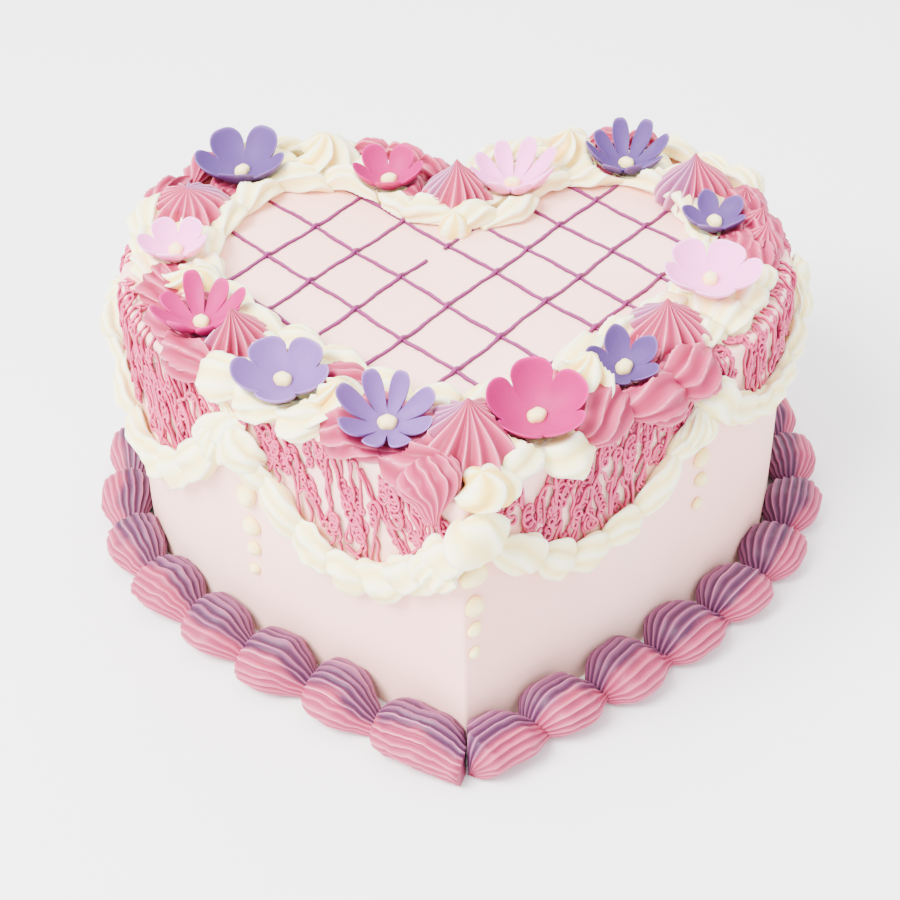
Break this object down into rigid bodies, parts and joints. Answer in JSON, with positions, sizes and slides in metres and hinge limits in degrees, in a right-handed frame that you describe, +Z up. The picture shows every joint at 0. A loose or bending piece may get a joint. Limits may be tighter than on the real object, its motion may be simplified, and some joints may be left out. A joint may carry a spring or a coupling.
{
  "type": "heart shaped cake",
  "caption": "Tall heart-shaped cake with a lattice top, piped shell borders, swags and strings on its wall, pointed swirls and sugar flowers.",
  "frame": {"origin": "middle of the cake's underside, at the middle of its bounding box, on the surface it stands on", "axes": "+Z up; the point of the heart faces -Y, its cleft faces +Y, and +X is to the right seen from the point"},
  "size_m": [0.2775, 0.261, 0.1248],
  "materials": {
    "pale_pink_icing": "matte",
    "cream_piping": "matte",
    "two_tone_piping": "matte",
    "pink_piping": "matte",
    "sugar_violet": "matte",
    "sugar_hot_pink": "matte",
    "sugar_pale_pink": "matte",
    "sugar_lilac": "matte"
  },
  "bodies": {
    "root": {"base_shell_01": "two_tone_piping", "base_shell_02": "two_tone_piping", "base_shell_03": "two_tone_piping", "base_shell_04": "two_tone_piping", "base_shell_05": "two_tone_piping", "base_shell_06": "two_tone_piping", "base_shell_07": "two_tone_piping", "base_shell_08": "two_tone_piping", "base_shell_09": "two_tone_piping", "base_shell_10": "two_tone_piping", "base_shell_11": "two_tone_piping", "base_shell_12": "two_tone_piping", "base_shell_13": "two_tone_piping", "base_shell_14": "two_tone_piping", "base_shell_15": "two_tone_piping", "base_shell_16": "two_tone_piping", "base_shell_17": "two_tone_piping", "base_shell_18": "two_tone_piping", "base_shell_19": "two_tone_piping", "base_shell_20": "two_tone_piping", "base_shell_21": "two_tone_piping", "base_shell_22": "two_tone_piping", "base_shell_23": "two_tone_piping", "base_shell_24": "two_tone_piping", "base_shell_25": "two_tone_piping", "base_shell_26": "two_tone_piping", "base_shell_27": "two_tone_piping", "base_shell_28": "two_tone_piping", "cake": "pale_pink_icing", "cream_back_left": "cream_piping", "cream_back_right": "cream_piping", "cream_front_left": "cream_piping", "cream_front_right": "cream_piping", "cream_left": "cream_piping", "cream_point": "cream_piping", "cream_right": "cream_piping", "edge_border": "cream_piping", "flower_a": "sugar_violet", "flower_b": "sugar_hot_pink", "flower_c": "sugar_pale_pink", "flower_d": "sugar_violet", "flower_e": "sugar_violet", "flower_f": "sugar_pale_pink", "flower_g": "sugar_violet", "flower_h": "sugar_hot_pink", "flower_i": "sugar_lilac", "flower_j": "sugar_lilac", "flower_k": "sugar_hot_pink", "flower_l": "sugar_pale_pink", "inner_border": "cream_piping", "kiss_cleft": "pink_piping", "kiss_left": "pink_piping", "kiss_left_back": "pink_piping", "kiss_point": "pink_piping", "kiss_right": "pink_piping", "kiss_right_back": "pink_piping", "swag_border_left": "cream_piping", "swag_border_right": "cream_piping"}
  },
  "joints": []
}
